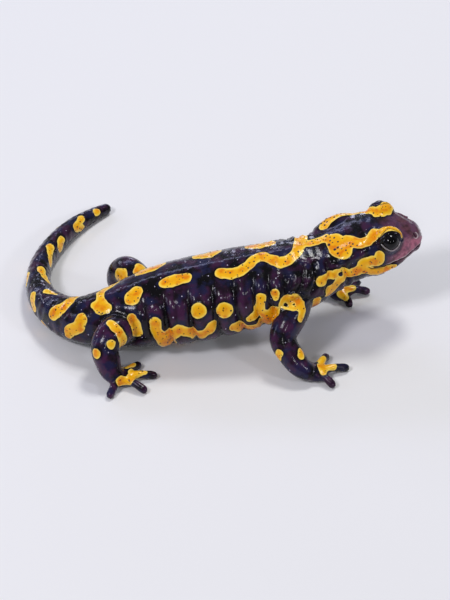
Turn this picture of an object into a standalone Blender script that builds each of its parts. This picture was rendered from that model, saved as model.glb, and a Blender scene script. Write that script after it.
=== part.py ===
# Fire salamander, adult, life size: it stands with its head raised and its tail swept round to its left.
# +X runs towards the head, +Z up, and the floor is z = 0. Sizes and places in the tables are millimetres.
# The animal is modelled whole, its forms are merged into one flesh, and thin cuts part that into its pieces.
import math

import bmesh
import bpy
import numpy as np
from mathutils import Matrix, Vector
from mathutils.bvhtree import BVHTree

MM = 0.001
GAP = 0.3  # cut between neighbouring pieces
VOXEL = 0.55  # grid on which the forms are merged
FACES = 4650  # triangles of the whole flesh before it is parted
CENTRE = (9.7, 14.5)  # middle of the animal's length and width in the tables

# Snout to tail tip: x, y, z of the section's middle, half width, rise above it and drop below it.
BODY = [
    (70.7, 0.9, 29.1, 6.3, 3.9, 4.1),  # nostrils
    (67.2, 0.9, 29.4, 8.8, 5.5, 6.2),  # muzzle
    (61.8, 0.9, 29.4, 10.3, 7.3, 8.5),  # eyes
    (55.7, 0.8, 28.6, 11.7, 8.0, 9.8),  # cheeks
    (49.8, 0.2, 27.1, 11.9, 8.0, 9.4),  # corners of the jaw
    (44.4, -0.9, 25.3, 11.2, 8.1, 9.6),  # nape
    (39.5, -2.0, 23.9, 11.0, 8.8, 10.6),  # neck
    (33.0, -3.1, 22.2, 12.3, 10.3, 12.0),  # shoulders
    (25.0, -3.6, 20.4, 13.4, 11.4, 12.4),  # chest
    (15.0, -3.0, 18.4, 14.2, 12.2, 12.7),
    (4.0, -2.5, 16.4, 14.5, 12.5, 13.0),  # belly
    (-7.0, -2.1, 14.7, 14.1, 12.4, 12.8),
    (-16.0, -2.0, 13.3, 13.0, 11.8, 12.2),  # loins
    (-23.5, -2.1, 12.0, 11.4, 10.7, 11.0),  # pelvis
    (-30.5, -1.3, 10.6, 9.4, 9.2, 9.1),  # root of the tail
    (-37.0, 0.4, 9.0, 8.0, 8.0, 8.0),
    (-42.6, 4.6, 7.3, 6.8, 6.9, 7.2),
    (-47.0, 11.0, 6.0, 5.7, 6.0, 6.2),
    (-49.6, 19.0, 5.0, 4.8, 5.2, 5.2),
    (-49.6, 28.0, 4.4, 4.2, 4.6, 4.6),
    (-47.3, 36.9, 3.9, 3.8, 4.1, 4.1),
    (-42.8, 45.3, 3.5, 3.5, 3.7, 3.7),
    (-36.6, 53.3, 3.1, 3.1, 3.3, 3.3),
    (-28.6, 60.4, 2.5, 2.5, 2.6, 2.7),
    (-21.2, 65.0, 1.9, 1.9, 2.0, 2.1),  # tail tip
]
SNOUT, TAIL_TIP = 3.1, 2.0  # how far the rounded ends reach past the first and last sections
BOXY = 2.15  # power of the sections: 2 is an ellipse

EYE_RADIUS = 3.2
BROW_STATION, BROW_ANGLE, BROW_DEPTH = 8.8, 42.0, 0.6  # along the body, round from the crown, below the skin
BROW = (4.6, 3.9, 3.9)  # the swelling that holds an eye
EYE_OUT, EYE_DOWN = 1.5, 0.4  # the eye's middle from the swelling's
GLAND_STATION, GLAND_ANGLE, GLAND_DEPTH = 22.5, 44.0, 2.0  # the parotoid behind it
GLAND = (8.0, 4.8, 3.1)
MOUTH_STATION, MOUTH_LEVEL = 18.5, -2.6  # its corner, and the lip line below the sections' middles

GROOVES = (47.0, 92.0, 11)  # first, last and number of the costal grooves along the flanks
GROOVE_DEPTH, GROOVE_WIDTH = 0.55, 1.1

# Each limb from inside the body outwards: x, y, z, half width and half thickness.
RIGHT_ARM = [
    (31.0, -8.0, 19.6, 5.6, 6.4),
    (29.0, -14.8, 17.0, 5.1, 5.6),  # shoulder
    (24.8, -20.6, 13.6, 4.6, 4.8),
    (23.4, -22.6, 11.2, 4.3, 4.3),  # elbow
    (25.0, -26.2, 8.0, 4.1, 4.1),
    (28.2, -30.4, 4.6, 3.6, 3.4),  # wrist
    (31.0, -31.2, 3.0, 3.6, 2.6),
]
LEFT_ARM = [
    (30.5, 4.0, 19.0, 5.2, 5.6),
    (31.4, 11.5, 16.6, 4.9, 5.0),
    (34.2, 17.4, 12.8, 4.5, 4.5),
    (36.6, 18.6, 10.4, 4.2, 4.2),
    (40.8, 16.0, 7.4, 4.0, 4.0),
    (45.2, 11.6, 4.4, 3.5, 3.3),
    (47.6, 9.4, 3.0, 3.5, 2.6),
]
RIGHT_LEG = [
    (-22.4, -4.5, 12.0, 6.0, 6.4),
    (-28.0, -10.4, 13.0, 5.4, 5.6),  # thigh
    (-32.6, -14.6, 13.2, 4.9, 5.0),
    (-34.2, -16.6, 11.4, 4.6, 4.7),  # knee
    (-33.8, -19.6, 7.6, 4.2, 4.3),
    (-32.4, -22.0, 4.4, 3.7, 3.4),  # ankle
    (-30.6, -22.4, 3.0, 3.7, 2.6),
]
LEFT_LEG = [
    (-16.8, 3.0, 12.6, 6.0, 6.4),
    (-19.2, 11.4, 14.4, 5.1, 5.6),
    (-21.8, 16.8, 14.4, 4.5, 4.8),
    (-23.2, 18.8, 12.2, 4.2, 4.4),
    (-23.8, 19.6, 8.2, 4.0, 4.1),
    (-23.4, 19.6, 4.6, 3.6, 3.4),
    (-21.4, 18.8, 3.0, 3.6, 2.6),
]
# Palm middle x, y, and its digits, inner to outer: heading in degrees from +X towards +Y, and reach.
RIGHT_HAND = (33.0, -30.6, [(112.0, 7.0), (58.0, 10.6), (8.0, 11.8), (-54.0, 8.8)])
LEFT_HAND = (48.8, 8.2, [(-72.0, 7.6), (-2.0, 10.2), (34.0, 9.4), (74.0, 7.0)])
RIGHT_FOOT = (-30.2, -22.2, [(84.0, 6.8), (41.0, 10.6), (1.0, 12.6), (-43.0, 10.8), (-122.0, 9.6)])
LEFT_FOOT = (-20.8, 18.6, [(-62.0, 6.8), (-26.0, 9.8), (6.0, 11.4), (38.0, 10.2), (74.0, 7.6)])
PALM = (4.3, 4.0, 2.3)  # half length, half width and half thickness
DIGIT_ROOT, DIGIT_MIDDLE, DIGIT_TIP = 1.75, 1.4, 1.5  # radii: the tips are plump and have no claws
KNUCKLE = 1.3  # how far a digit's middle stands above its root and tip
SINK = 0.28  # soles and tail reach this far below the floor before their flats are cut

# Where the body is cut across, and the piece in front of each cut.
BODY_CUTS = [
    (28.0, "head"),
    (34.5, "neck"),
    (58.5, "chest"),
    (73.0, "belly"),
    (85.5, "loins"),
    (112.0, "pelvis"),
    (129.0, "tail_root"),
    (146.0, "tail_bend"),
    (166.0, "tail_middle"),
]
LAST_PIECE = "tail_tip"
LIMB_CUTS = (0.55, 0.84)  # at elbow or knee and at wrist or ankle, as parts of the limb's length
LIMBS = [  # table, palm and digits, and the pieces from the body outwards
    (RIGHT_ARM, RIGHT_HAND, ("right_upper_arm", "right_forearm", "right_hand")),
    (LEFT_ARM, LEFT_HAND, ("left_upper_arm", "left_forearm", "left_hand")),
    (RIGHT_LEG, RIGHT_FOOT, ("right_thigh", "right_shank", "right_foot")),
    (LEFT_LEG, LEFT_FOOT, ("left_thigh", "left_shank", "left_foot")),
]
DISC_MARGIN = 1.6  # how far a cutting disc reaches past the form that it cuts
ROOT_PLATE = (10.8, 50.0, 0.8)  # plate that parts a limb from the body: half length, half turn, height

SKIN = ("wet black skin", (0.012, 0.008, 0.016), 0.22)
EYE = ("dark wet eye", (0.004, 0.004, 0.006), 0.05)


def spline(table):
    """A natural cubic through the rows, against the distance along their first three columns."""
    rows = np.array(table, float)
    steps = np.linalg.norm(np.diff(rows[:, :3], axis=0), axis=1)
    at = np.concatenate(([0.0], np.cumsum(steps)))
    system, target = np.eye(len(at)), np.zeros_like(rows)
    for i in range(1, len(at) - 1):
        before, after = steps[i - 1], steps[i]
        system[i, i - 1 : i + 2] = before, 2 * (before + after), after
        target[i] = 6 * ((rows[i + 1] - rows[i]) / after - (rows[i] - rows[i - 1]) / before)
    bend = np.linalg.solve(system, target)

    def value(s):
        i = int(np.clip(np.searchsorted(at, s) - 1, 0, len(at) - 2))
        step, left, gone = steps[i], at[i + 1] - s, s - at[i]
        curved = (bend[i] * left**3 + bend[i + 1] * gone**3) / (6 * step)
        start, end = rows[i] / step - bend[i] * step / 6, rows[i + 1] / step - bend[i + 1] * step / 6
        return curved + start * left + end * gone

    return value, at[-1]


class Tube:
    """A round form along a spline. Its stations are millimetres from the first row, its angles degrees
    from the top, growing to the right of someone who looks back along it from its last row."""

    def __init__(self, table, ends, relief=None):
        wide = [row[:5] + row[4:5] if len(row) == 5 else row for row in table]
        self.value, self.length = spline(wide)
        self.ends, self.relief = ends, relief

    def frame(self, s):
        """Middle, half sizes, and the forward, right and up directions at a station."""
        inside = min(max(s, 0.0), self.length)
        row = self.value(inside)
        step = 0.25
        low, high = max(inside - step, 0.0), min(inside + step, self.length)
        forward = Vector(self.value(low)[:3] - self.value(high)[:3]).normalized()
        right = forward.cross(Vector((0, 0, 1))).normalized()
        up = right.cross(forward)
        middle = Vector(row[:3]) + forward * (inside - s)
        sizes = np.array(row[3:])
        past = s < 0 or s > self.length
        if past:  # the rounded ends are quarter ellipses
            end = self.ends[0] if s < 0 else self.ends[1]
            sizes = sizes * math.sqrt(max(0.0, 1 - (abs(s - inside) / end) ** 2))
        return middle, sizes, forward, right, up

    def point(self, s, angle, out=0.0):
        middle, (wide, rise, drop), _, right, up = self.frame(s)
        sine, cosine = math.sin(math.radians(angle)), math.cos(math.radians(angle))
        side = wide * math.copysign(abs(sine) ** (2 / BOXY), sine)
        level = (rise if cosine > 0 else drop) * math.copysign(abs(cosine) ** (2 / BOXY), cosine)
        radius = math.hypot(side, level)
        if self.relief and 0 < s < self.length:
            out = out + self.relief(s, angle)
        scale = 1 + out / radius if radius > 1e-6 else 1
        return middle + right * side * scale + up * level * scale

    def stations(self, spacing):
        """Evenly along the tube, then closer together round its ends."""
        count = max(2, round(self.length / spacing))
        turns = [math.radians(a) for a in (22, 42, 60, 75, 85)]
        start = [-self.ends[0] * math.sin(a) for a in reversed(turns)]
        end = [self.length + self.ends[1] * math.sin(a) for a in turns]
        return start + [self.length * i / count for i in range(count + 1)] + end

    def build(self, bm, sides, spacing):
        rings = []
        for s in self.stations(spacing):
            rings.append([bm.verts.new(self.point(s, 360 * k / sides)) for k in range(sides)])
        tips = [bm.verts.new(self.frame(s)[0]) for s in (-self.ends[0], self.length + self.ends[1])]
        for one, two in zip(rings, rings[1:]):
            for k in range(sides):
                bm.faces.new((one[k], one[k - 1], two[k - 1], two[k]))
        for k in range(sides):
            bm.faces.new((tips[0], rings[0][k - 1], rings[0][k]))
            bm.faces.new((tips[1], rings[-1][k], rings[-1][k - 1]))

    def slice(self, bm, s, margin, sides=20):
        """A thin disc across the tube, a little wider than it."""
        rings = []
        for side in (-GAP / 2, GAP / 2):
            middle, sizes, forward, right, up = self.frame(s)
            ring = []
            for k in range(sides):
                angle = math.tau * k / sides
                wide = (sizes[0] + margin) * math.sin(angle)
                high = (max(sizes[1:]) + margin) * math.cos(angle)
                ring.append(bm.verts.new(middle + right * wide + up * high - forward * side))
            rings.append(ring)
        close_rings(bm, *rings)

    def patch(self, bm, stations, angles, out):
        """A thin curved plate that lies just outside a part of the tube."""
        layers = []
        for height in (out, out + GAP):
            grid = []
            for i in range(6):
                s = stations[0] + (stations[1] - stations[0]) * i / 5
                turned = [angles[0] + (angles[1] - angles[0]) * k / 6 for k in range(7)]
                grid.append([bm.verts.new(self.point(s, angle, height)) for angle in turned])
            layers.append(grid)
        close_grids(bm, *layers)


def close_rings(bm, first, second):
    """Two rings become the ends of a closed disc."""
    for k in range(len(first)):
        bm.faces.new((first[k], first[k - 1], second[k - 1], second[k]))
    bm.faces.new(first)
    bm.faces.new(list(reversed(second)))


def close_grids(bm, low, high):
    """Two grids of points become the faces of a closed plate."""
    rows, columns = len(low), len(low[0])
    for i in range(rows - 1):
        for k in range(columns - 1):
            bm.faces.new((low[i][k], low[i][k + 1], low[i + 1][k + 1], low[i + 1][k]))
            bm.faces.new((high[i][k], high[i + 1][k], high[i + 1][k + 1], high[i][k + 1]))

    def rim(grid):
        top, bottom = grid[0], list(reversed(grid[-1]))
        right = [row[-1] for row in grid[1:-1]]
        left = [row[0] for row in reversed(grid[1:-1])]
        return top + right + bottom + left

    inner, outer = rim(low), rim(high)
    for k in range(len(inner)):
        bm.faces.new((inner[k], inner[k - 1], outer[k - 1], outer[k]))


def ball(bm, middle, radii, axes=None, subdivisions=3):
    """An ellipsoid whose radii run along the forward, right and up directions given."""
    turn = Matrix(axes).transposed().to_4x4() if axes else Matrix.Identity(4)
    size = Matrix.Diagonal((*radii, 1.0))
    bmesh.ops.create_icosphere(
        bm, subdivisions=subdivisions, radius=1.0, matrix=Matrix.Translation(middle) @ turn @ size
    )


def costal_relief(s, angle):
    """Shallow furrows down both flanks, from beside the back to the edge of the belly."""
    first, last, count = GROOVES
    if not first - 3 < s < last + 3:
        return 0.0
    spacing = (last - first) / (count - 1)
    nearest = first + spacing * round((s - first) / spacing)
    folded = abs((angle + 180) % 360 - 180)
    flank = max(0.0, math.sin(math.pi * min(max((folded - 25) / 115, 0.0), 1.0)))
    return -GROOVE_DEPTH * flank * math.exp(-(((s - nearest) / GROOVE_WIDTH) ** 2))


def digits(bm, palm):
    """The palm and its plump digits, which arch a little and lie flat at their tips."""
    x, y, spread = palm
    heading = math.radians(spread[len(spread) // 2][0])
    along = Vector((math.cos(heading), math.sin(heading), 0))
    across = along.cross(Vector((0, 0, 1)))
    ball(bm, Vector((x, y, PALM[2] - SINK)), PALM, (along, across, Vector((0, 0, 1))))
    for degrees, reach in spread:
        way = Vector((math.cos(math.radians(degrees)), math.sin(math.radians(degrees)), 0))
        last = reach - DIGIT_TIP
        rows = []
        for part, radius, lift in ((0.1, DIGIT_ROOT, 0.3), (0.5, DIGIT_MIDDLE, KNUCKLE), (1.0, DIGIT_TIP, 0)):
            place = Vector((x, y, radius - SINK + lift)) + way * last * part
            rows.append((*place, radius, radius))
        Tube(rows, (DIGIT_ROOT, DIGIT_TIP)).build(bm, 14, 0.8)


def new_object(name, bm):
    mesh = bpy.data.meshes.new(name)
    bmesh.ops.recalc_face_normals(bm, faces=bm.faces)
    bm.to_mesh(mesh)
    bm.free()
    made = bpy.data.objects.new(name, mesh)
    bpy.context.collection.objects.link(made)
    return made


def apply_modifiers(made):
    """The object's mesh becomes what its modifiers make of it."""
    seen = made.evaluated_get(bpy.context.evaluated_depsgraph_get())
    old, made.data = made.data, bpy.data.meshes.new_from_object(seen)
    made.modifiers.clear()
    bpy.data.meshes.remove(old)


def cut_away(made, bm):
    """Takes the cutter's closed forms out of the object."""
    cutter = new_object("cutter", bm)
    cutter.hide_render, cutter.display_type = True, "WIRE"
    boolean = made.modifiers.new("cut", "BOOLEAN")
    boolean.object, boolean.operation, boolean.solver = cutter, "DIFFERENCE", "EXACT"
    apply_modifiers(made)
    old = cutter.data
    bpy.data.objects.remove(cutter)
    bpy.data.meshes.remove(old)


def brow_place(body, side):
    return body.point(BROW_STATION, BROW_ANGLE * side, -BROW_DEPTH)


def eye_place(body, side):
    _, _, _, right, up = body.frame(BROW_STATION)
    return brow_place(body, side) + right * side * EYE_OUT - up * EYE_DOWN


def merge_forms(body, limbs):
    """Body, limbs, digits and swellings as one smooth closed flesh."""
    bm = bmesh.new()
    body.build(bm, 64, 0.9)
    for side in (1, -1):
        _, _, *axes = body.frame(BROW_STATION)
        ball(bm, brow_place(body, side), BROW, axes)
        _, _, *axes = body.frame(GLAND_STATION)
        ball(bm, body.point(GLAND_STATION, GLAND_ANGLE * side, -GLAND_DEPTH), GLAND, axes)
    for limb, (_, palm, _) in zip(limbs, LIMBS):
        limb.build(bm, 28, 0.8)
        digits(bm, palm)
    flesh = new_object("flesh", bm)
    remesh = flesh.modifiers.new("merge", "REMESH")
    remesh.mode, remesh.voxel_size, remesh.adaptivity = "VOXEL", VOXEL, 0.0
    soften = flesh.modifiers.new("soften", "SMOOTH")
    soften.factor, soften.iterations = 0.5, 6
    apply_modifiers(flesh)
    thin = flesh.modifiers.new("thin", "DECIMATE")
    thin.ratio = FACES / (2 * len(flesh.data.polygons))
    apply_modifiers(flesh)
    return flesh


def cut_flats(flesh):
    """Soles and tail lie on the floor on small flats."""
    bm = bmesh.new()
    below = Matrix.Translation((0, 0, -20)) @ Matrix.Diagonal((400, 400, 40, 1))
    bmesh.ops.create_cube(bm, size=1.0, matrix=below)
    cut_away(flesh, bm)


def cut_sockets(flesh, body):
    bm = bmesh.new()
    radius = EYE_RADIUS + GAP
    for side in (1, -1):
        ball(bm, eye_place(body, side), (radius,) * 3, subdivisions=2)
    cut_away(flesh, bm)


def cut_mouth(flesh, body):
    """A thin bent plate: level from the lips back to the mouth's corner, then down through the throat."""
    middle, _, forward, right, up = body.frame(BROW_STATION)
    front, back = BROW_STATION + SNOUT + 4, BROW_STATION - MOUTH_STATION
    half, slant, depth = 18.0, 3.0, 14.0
    outline = [(front, GAP / 2), (back - GAP, GAP / 2), (back - GAP - slant, -depth)]
    outline += [(back - slant, -depth), (back, -GAP / 2), (front, -GAP / 2)]
    bm = bmesh.new()
    rings = []
    for side in (-half, half):
        places = [middle + forward * ahead + up * (level + MOUTH_LEVEL) for ahead, level in outline]
        rings.append([bm.verts.new(place + right * side) for place in places])
    close_rings(bm, *rings)
    cut_away(flesh, bm)


def leaves_body(body, limb):
    """Station and angle where a limb's middle line comes out of the body."""
    stations = np.arange(0.0, body.length, 0.5)
    middles = np.array([body.frame(s)[0] for s in stations])
    for along in np.arange(0.0, limb.length, 0.25):
        place = limb.frame(along)[0]
        s = stations[np.argmin(np.linalg.norm(middles - np.array(place), axis=1))]
        middle, _, _, right, up = body.frame(s)
        away = place - middle
        angle = math.degrees(math.atan2(away.dot(right), away.dot(up)))
        if away.length > (body.point(s, angle) - middle).length:
            return s, angle
    raise ValueError("the limb stays inside the body")


def cut_lengths(flesh, body, limbs):
    """Thin discs across the body, the tail and each limb."""
    bm = bmesh.new()
    for s, _ in BODY_CUTS:
        body.slice(bm, s, DISC_MARGIN)
    for limb in limbs:
        for part in LIMB_CUTS:
            limb.slice(bm, limb.length * part, DISC_MARGIN)
    cut_away(flesh, bm)


def cut_limb_roots(flesh, body, limbs):
    """A thin curved plate parts each limb from the body, just off its flank."""
    length, turn, height = ROOT_PLATE
    bm = bmesh.new()
    for limb in limbs:
        s, angle = leaves_body(body, limb)
        body.patch(bm, (s - length, s + length), (angle - turn, angle + turn), height)
    cut_away(flesh, bm)


def pieces_of(flesh):
    """The flesh's separate closed pieces, each as a bmesh."""
    whole = bmesh.new()
    whole.from_mesh(flesh.data)
    bmesh.ops.triangulate(whole, faces=whole.faces)
    left, pieces = set(whole.faces), []
    while left:
        front = [left.pop()]
        found = list(front)
        while front:
            face = front.pop()
            for edge in face.edges:
                for other in edge.link_faces:
                    if other in left:
                        left.remove(other)
                        front.append(other)
                        found.append(other)
        piece, made = bmesh.new(), {}
        for face in found:
            for vert in face.verts:
                if vert not in made:
                    made[vert] = piece.verts.new(vert.co)
            piece.faces.new([made[vert] for vert in face.verts])
        piece.normal_update()
        pieces.append(piece)
    whole.free()
    return pieces


def anchors(body, limbs):
    """A place inside each piece."""
    places = {}
    start = BROW_STATION + 10
    for s, name in BODY_CUTS + [(body.length, LAST_PIECE)]:
        places[name] = body.frame((start + s) / 2)[0]
        start = s
    middle, _, _, _, up = body.frame(BROW_STATION)
    places["lower_jaw"] = middle + up * (MOUTH_LEVEL - 2)
    for limb, (_, (x, y, _), names) in zip(limbs, LIMBS):
        elbow, wrist = LIMB_CUTS
        places[names[0]] = limb.frame(limb.length * (elbow - 0.12))[0]
        places[names[1]] = limb.frame(limb.length * (elbow + wrist) / 2)[0]
        places[names[2]] = Vector((x, y, PALM[2]))
    return places


def name_pieces(pieces, places):
    """Each piece becomes an object, named for the anchor that it holds."""
    trees = [BVHTree.FromBMesh(piece) for piece in pieces]
    for name, place in places.items():
        inside = []
        for i, tree in enumerate(trees):
            near, normal, _, distance = tree.find_nearest(place)
            if (place - near).dot(normal) < 0:
                inside.append((distance, i))
        holder = min(inside)[1]
        finish(new_object(name, pieces[holder].copy()), SKIN)
    for piece in pieces:
        piece.free()


def finish(made, material):
    """The piece goes to its place in metres and gets its material."""
    name, colour, roughness = material
    made.data.transform(Matrix.Scale(MM, 4) @ Matrix.Translation((-CENTRE[0], -CENTRE[1], 0)))
    found = bpy.data.materials.get(name)
    if found is None:
        found = bpy.data.materials.new(name)
        found.use_nodes = True
        shader = found.node_tree.nodes["Principled BSDF"]
        shader.inputs["Base Color"].default_value = (*colour, 1.0)
        shader.inputs["Roughness"].default_value = roughness
        shader.inputs["Metallic"].default_value = 0.0
    made.data.materials.clear()
    made.data.materials.append(found)
    made.data.shade_smooth()
    made.data.set_sharp_from_angle(angle=math.radians(40))


def make_eyes(body):
    for side, name in ((1, "eye_right"), (-1, "eye_left")):
        bm = bmesh.new()
        ball(bm, eye_place(body, side), (EYE_RADIUS,) * 3, subdivisions=2)
        finish(new_object(name, bm), EYE)


def main():
    for made in list(bpy.data.objects):
        bpy.data.objects.remove(made)
    body = Tube(BODY, (SNOUT, TAIL_TIP), costal_relief)
    limbs = [Tube(table, (1.0, 1.0)) for table, _, _ in LIMBS]
    flesh = merge_forms(body, limbs)
    cut_flats(flesh)
    cut_sockets(flesh, body)
    cut_mouth(flesh, body)
    cut_lengths(flesh, body, limbs)
    cut_limb_roots(flesh, body, limbs)
    pieces = pieces_of(flesh)
    name_pieces(pieces, anchors(body, limbs))
    bpy.data.objects.remove(flesh)
    make_eyes(body)


main()
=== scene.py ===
import math

import bmesh
import bpy
import numpy as np
from mathutils import Matrix, Vector
from mathutils.bvhtree import BVHTree


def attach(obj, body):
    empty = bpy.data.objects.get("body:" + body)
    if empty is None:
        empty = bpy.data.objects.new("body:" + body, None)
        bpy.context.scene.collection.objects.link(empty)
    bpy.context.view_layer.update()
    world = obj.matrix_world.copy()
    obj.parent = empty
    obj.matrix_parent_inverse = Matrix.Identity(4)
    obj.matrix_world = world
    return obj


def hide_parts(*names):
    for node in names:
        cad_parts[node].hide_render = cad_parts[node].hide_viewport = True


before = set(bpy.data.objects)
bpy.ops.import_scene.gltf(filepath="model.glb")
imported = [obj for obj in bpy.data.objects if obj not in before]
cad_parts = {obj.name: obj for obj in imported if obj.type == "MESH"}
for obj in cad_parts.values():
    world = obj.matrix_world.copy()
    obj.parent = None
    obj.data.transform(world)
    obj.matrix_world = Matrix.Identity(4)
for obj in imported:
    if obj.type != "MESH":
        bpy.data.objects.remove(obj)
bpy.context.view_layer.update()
scene = bpy.context.scene
mm = 0.001
centre = np.array([9.7, 14.5, 0.0])  # middle of the animal's length and width in the tables
bothSides = (1, -1)  # the animal's right and left
tracing = {
    "power": 2.15,  # of the sections: 2 is an ellipse
    "halfStep": 0.25,  # ahead and behind, to find which way a form runs
    "spacing": 0.5,  # of the stations among which a point's nearest is sought
    "thinnest": 0.2,
    "batch": 4000,  # points at a time
}


def unit(vectors):
    return vectors / np.maximum(np.linalg.norm(vectors, axis=-1, keepdims=True), 1e-9)


def signedPower(values, power):
    return np.sign(values) * np.abs(values) ** power


class Tube:
    # A round form along a natural cubic spline through rows of x, y, z, half width, rise and drop.
    # Stations are millimetres from the first row. Angles are degrees from the top, growing to the
    # right of someone who looks back along the form from its last row.
    def __init__(self, rows, ends):
        self.rows = np.array([row if len(row) == 6 else row + (row[4],) for row in rows], float)
        self.steps = np.linalg.norm(np.diff(self.rows[:, :3], axis=0), axis=1)
        self.at = np.concatenate(([0.0], np.cumsum(self.steps)))
        self.length, self.ends = self.at[-1], ends
        slopes = np.diff(self.rows, axis=0) / self.steps[:, None]
        system, target = np.eye(len(self.at)), np.zeros_like(self.rows)
        for i in range(1, len(self.at) - 1):
            before, after = self.steps[i - 1], self.steps[i]
            system[i, i - 1 : i + 2] = before, 2 * (before + after), after
            target[i] = 6 * (slopes[i] - slopes[i - 1])
        self.bend = np.linalg.solve(system, target)

    def value(self, s):
        i = np.clip(np.searchsorted(self.at, s) - 1, 0, len(self.at) - 2)
        step = self.steps[i][:, None]
        left, gone = (self.at[i + 1] - s)[:, None], (s - self.at[i])[:, None]
        curved = (self.bend[i] * left**3 + self.bend[i + 1] * gone**3) / (6 * step)
        start, end = (self.rows[k] / step - self.bend[k] * step / 6 for k in (i, i + 1))
        return curved + start * left + end * gone

    def frames(self, s):
        # Middle, sizes, and the forward, right and up directions, at each station.
        s = np.atleast_1d(np.asarray(s, float))
        inside = np.clip(s, 0.0, self.length)
        rows = self.value(inside)
        low = np.maximum(inside - tracing["halfStep"], 0.0)
        high = np.minimum(inside + tracing["halfStep"], self.length)
        forward = unit(self.value(low)[:, :3] - self.value(high)[:, :3])
        right = unit(np.cross(forward, (0.0, 0.0, 1.0)))
        past = s - inside
        end = np.where(past < 0, self.ends[0], self.ends[1])
        shrink = np.sqrt(np.clip(1 - (past / end) ** 2, 0.0, 1.0))[:, None]
        middle = rows[:, :3] - forward * past[:, None]
        return middle, rows[:, 3:] * shrink, forward, right, np.cross(right, forward)

    def surface(self, s, angle, out=0.0):
        middle, sizes, _, right, up = self.frames(s)
        sine, cosine = np.sin(np.radians(angle)), np.cos(np.radians(angle))
        side = sizes[:, 0] * signedPower(sine, 2 / tracing["power"])
        high = np.where(cosine > 0, sizes[:, 1], sizes[:, 2])
        level = high * signedPower(cosine, 2 / tracing["power"])
        scale = 1 + out / np.maximum(np.hypot(side, level), 1e-6)
        return middle + right * (side * scale)[:, None] + up * (level * scale)[:, None]

    def coordinates(self, points):
        # Station, angle and distance outside the form, for each point.
        spacing, power = tracing["spacing"], tracing["power"]
        stations = np.arange(-self.ends[0], self.length + self.ends[1], spacing)
        middles, _, forwards, _, _ = self.frames(stations)
        batches = np.array_split(points, len(points) // tracing["batch"] + 1)
        gaps = (((part[:, None] - middles) ** 2).sum(2) for part in batches)
        nearest = np.concatenate([gap.argmin(1) for gap in gaps])
        along = ((points - middles[nearest]) * forwards[nearest]).sum(1)
        s = stations[nearest] - np.clip(along, -spacing, spacing)
        s = np.clip(s, stations[0], stations[-1])
        middle, sizes, _, right, up = self.frames(s)
        sizes = np.maximum(sizes, tracing["thinnest"])
        away = points - middle
        side, level = (away * right).sum(1), (away * up).sum(1)
        across = side / sizes[:, 0]
        above = level / np.where(level > 0, sizes[:, 1], sizes[:, 2])
        angle = np.degrees(np.arctan2(*(signedPower(v, power / 2) for v in (across, above))))
        ratio = (np.abs(across) ** power + np.abs(above) ** power) ** (1 / power)
        return s, angle, np.hypot(side, level) * (1 - 1 / np.maximum(ratio, 1e-3))


def smooth(low, high, values):
    t = np.clip((values - low) / (high - low), 0.0, 1.0)
    return t * t * (3 - 2 * t)


def band(values, start, full, last, end):
    # Rises from start to full, and falls again from last to end.
    return smooth(start, full, values) * (1 - smooth(last, end, values))


def dip(distance, width):
    return np.exp(-((distance / width) ** 2))


def linear(hexColour):
    # An sRGB hex colour as linear red, green, blue and alpha.
    parts = [int(hexColour[i : i + 2], 16) / 255 for i in (1, 3, 5)]
    parts = [c / 12.92 if c <= 0.04045 else ((c + 0.055) / 1.055) ** 2.4 for c in parts]
    return (*parts, 1.0)


def fillInputs(tree, node, inputs):
    # Sets or links inputs, named or in a row from the first. A node is linked by the first of its
    # outputs that is in use.
    for name, value in inputs.items() if isinstance(inputs, dict) else enumerate(inputs):
        if isinstance(value, bpy.types.Node):
            value = next(output for output in value.outputs if output.enabled)
        if isinstance(value, bpy.types.NodeSocket):
            tree.links.new(value, node.inputs[name])
        else:
            node.inputs[name].default_value = value


def addNode(tree, kind, inputs=(), **settings):
    # Adds one node with its settings and links. Shader nodes go without the start of their names.
    node = tree.nodes.new(kind if "Node" in kind else "ShaderNode" + kind)
    for name, value in settings.items():
        setattr(node, name, value)
    fillInputs(tree, node, inputs)
    return node


def newMaterial(name, inputs=()):
    made = bpy.data.materials.new(name)
    made.use_nodes = True
    fillInputs(made.node_tree, made.node_tree.nodes["Principled BSDF"], inputs)
    return made


def newObject(name, data):
    made = bpy.data.objects.new(name, data)
    scene.collection.objects.link(made)
    return made


def meshObject(name, bm):
    mesh = bpy.data.meshes.new(name)
    bm.to_mesh(mesh)
    bm.free()
    return newObject(name, mesh)


def applyModifiers(made):
    seen = made.evaluated_get(bpy.context.evaluated_depsgraph_get())
    old, made.data = made.data, bpy.data.meshes.new_from_object(seen)
    made.modifiers.clear()
    bpy.data.meshes.remove(old)


def soften(made, times):
    relax = made.modifiers.new("soften", "SMOOTH")
    relax.factor, relax.iterations = 0.5, times
    applyModifiers(made)


def readVectors(items, name):
    flat = np.empty(len(items) * 3, np.float32)
    items.foreach_get(name, flat)
    return flat.reshape(-1, 3).astype(float)


def setAttribute(mesh, name, values):
    found = mesh.attributes.get(name) or mesh.attributes.new(name, "FLOAT", "POINT")
    found.data.foreach_set("value", np.asarray(values, np.float32))


def makeTree(mesh, points):
    return BVHTree.FromPolygons(points.tolist(), [tuple(p.vertices) for p in mesh.polygons])


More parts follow.
